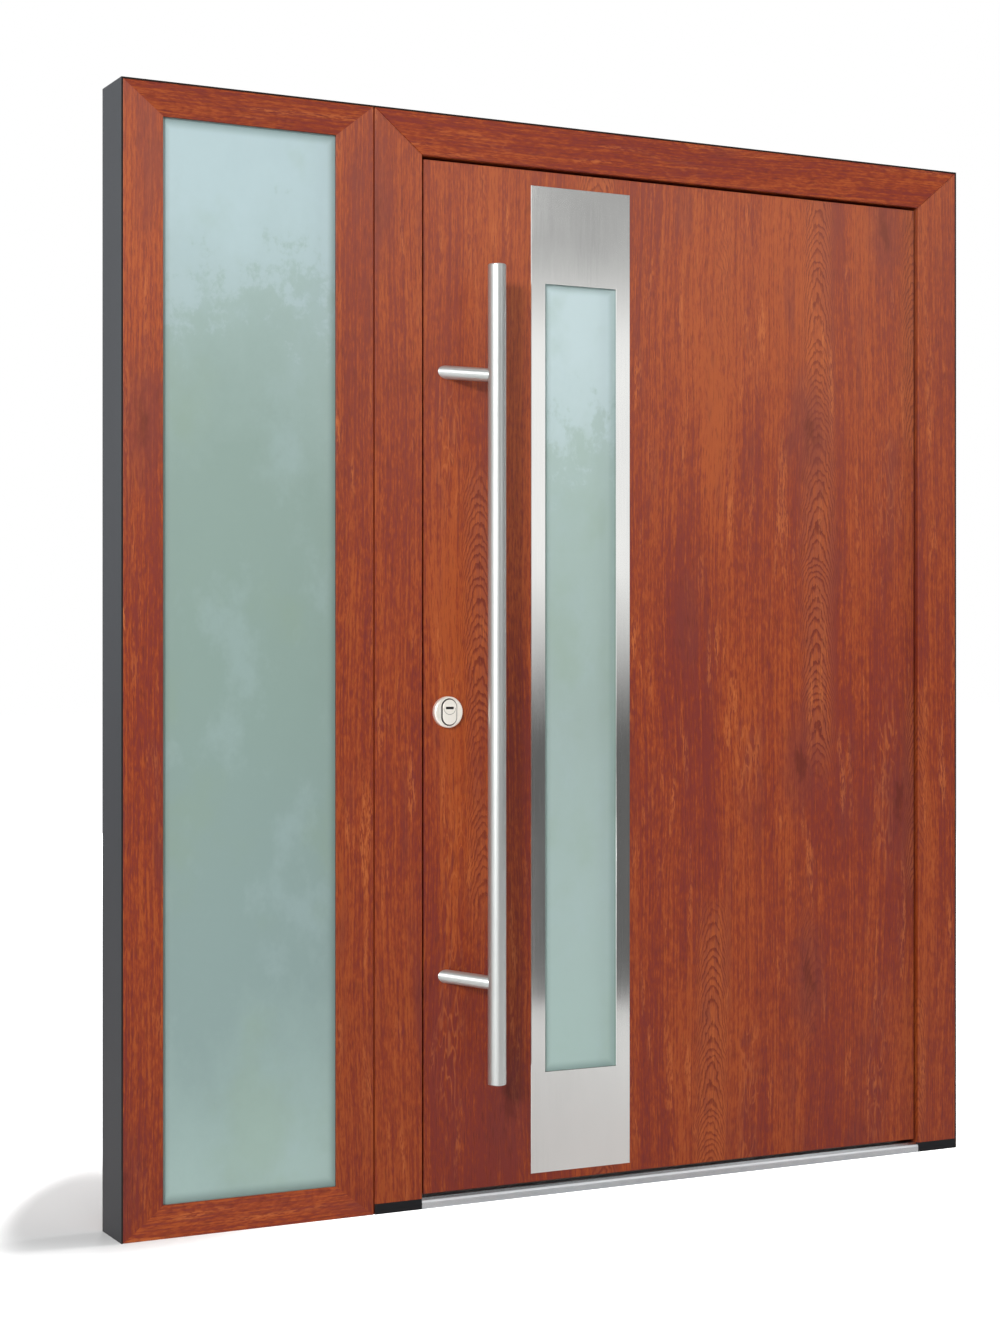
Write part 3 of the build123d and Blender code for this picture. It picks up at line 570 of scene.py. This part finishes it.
world = bpy.data.worlds.new("studio")
scene.world = world
world.use_nodes = True
tree = world.node_tree
tree.nodes.clear()
path = tree.nodes.new("ShaderNodeLightPath")
soft = tree.nodes.new("ShaderNodeBackground")
soft.inputs[0].default_value = (1.0, 1.0, 1.0, 1.0)
soft.inputs[1].default_value = 0.26
white = tree.nodes.new("ShaderNodeBackground")
white.inputs[0].default_value = (1.0, 1.0, 1.0, 1.0)
white.inputs[1].default_value = 1.0
seen = path.outputs["Is Camera Ray"]
for ray in ("Is Glossy Ray", "Is Transmission Ray"):
    either = tree.nodes.new("ShaderNodeMath")
    either.operation = "MAXIMUM"
    tree.links.new(seen, either.inputs[0])
    tree.links.new(path.outputs[ray], either.inputs[1])
    seen = either.outputs[0]
choose = tree.nodes.new("ShaderNodeMixShader")
tree.links.new(seen, choose.inputs[0])
tree.links.new(soft.outputs[0], choose.inputs[1])
tree.links.new(white.outputs[0], choose.inputs[2])
out = tree.nodes.new("ShaderNodeOutputWorld")
tree.links.new(choose.outputs[0], out.inputs[0])


def flat(name, corners, mat):
    data = bpy.data.meshes.new(name)
    data.from_pydata(corners, [], [tuple(range(len(corners)))])
    data.materials.append(mat)
    made = bpy.data.objects.new(name, data)
    scene.collection.objects.link(made)
    return made


# Floor: white to the camera, apart from an oval at the left corner where the shadow of the set shows
FLOOR_REACH = 40.0
FLOOR_PALE, FLOOR_GREY, FLOOR_GLOW = (0.81, 0.81, 0.81), (0.56, 0.56, 0.56), 0.80
OVAL_X, OVAL_Y = -0.95, 0.20
VIEW_TURN = math.radians(27.2)
ground = Surface("floor")
rays = ground.tree.nodes.new("ShaderNodeLightPath")
# Painted reflection: glossy rays see the floor grey on its right part, fading in from the left
grey = ground.times(rays.outputs["Is Glossy Ray"], ground.step(ground.x, -0.6, 0.1))
ground.set(Base_Color=ground.mix(grey, FLOOR_PALE, FLOOR_GREY))
ground.set(Roughness=0.9, Specular_IOR_Level=0.0, Emission_Color=(1.0, 1.0, 1.0))
east = ground.less(ground.x, OVAL_X)
north = ground.less(ground.y, OVAL_Y)
turn_sine, turn_cosine = math.sin(VIEW_TURN), math.cos(VIEW_TURN)
along = ground.add(ground.times(east, turn_sine), ground.times(north, turn_cosine), -0.05)
aside = ground.add(ground.times(east, turn_cosine), ground.times(north, -turn_sine), 0.02)
length = ground.times(along, 2.2)
breadth = ground.math("MAXIMUM", ground.times(aside, -8.0), ground.times(aside, 2.0))
away = ground.math("SQRT", ground.add(ground.times(length, length), ground.times(breadth, breadth)))
glow = ground.times(ground.step(away, 0.5, 1.2), FLOOR_GLOW)
ground.set(Emission_Strength=ground.times(rays.outputs["Is Camera Ray"], glow))
signs = ((-1, -1), (1, -1), (1, 1), (-1, 1))
flat("floor", [(a * FLOOR_REACH, b * FLOOR_REACH, 0.0) for a, b in signs], ground.mat)


def reflected(s, name, corners, shade):
    """Card of a grey shade that shows only in reflections."""
    s.set(Base_Color=(0.0, 0.0, 0.0), Specular_IOR_Level=0.0)
    s.set(Emission_Color=shade, Emission_Strength=1.0)
    made = flat(name, corners, s.mat)
    made.visible_camera = False
    made.visible_diffuse = False
    made.visible_transmission = False
    made.visible_shadow = False


def card(name, start, end, bottom, top, stops):
    """Upright card between two floor points, with brightness given by height."""
    s = Surface(name)
    rise = s.math("DIVIDE", s.less(s.z, bottom), top - bottom)
    shade = s.ramp(rise, [(place, (value, value, value)) for place, value in stops])
    reflected(s, name, [(*start, bottom), (*end, bottom), (*end, top), (*start, top)], shade)


def ceiling(name, corners, value):
    """Level card overhead."""
    reflected(Surface(name), name, corners, (value, value, value))


LOW_TONES = ((0.0, 0.22), (0.09, 0.14), (0.63, 0.12), (0.72, 0.26), (0.85, 0.62), (1.0, 0.95))
card("low_card", (1.07, -2.44), (1.58, -2.155), 0.0, 1.30, LOW_TONES)
card("high_card", (2.53, -5.52), (3.58, -4.94), 2.5, 4.5, ((0.0, 1.0), (0.18, 0.42), (1.0, 0.40)))
card("front_card", (-0.36, -2.3), (0.60, -2.3), 0.0, 3.0, ((0.0, 0.14), (1.0, 0.14)))
card("right_card", (1.85, -2.5), (4.9, 0.8), 0.0, 4.0, ((0.0, 0.14), (1.0, 0.14)))
card("sky_card", (2.0, -9.0), (7.5, -6.0), 3.4, 9.0, ((0.0, 1.0), (0.12, 2.8), (1.0, 2.8)))
ceiling("top_card", [(-3.0, -5.0, 4.3), (3.0, -5.0, 4.3), (3.0, -0.3, 4.3), (-3.0, -0.3, 4.3)], 0.14)

# Camera at the photograph's angle, for an image of 1000 by 1333 pixels
FOCAL_PX, HIGH_PX = 2400.0, 1333.0
view = bpy.data.cameras.new("camera")
view.sensor_width = 36.0
view.lens = view.sensor_width * FOCAL_PX / HIGH_PX
view.shift_y = -0.0052
camera = bpy.data.objects.new("camera", view)
scene.collection.objects.link(camera)
camera.location = (-2.302, -4.204, 1.051)
camera.rotation_euler = (math.radians(90.0), 0.0, -VIEW_TURN)
scene.camera = camera
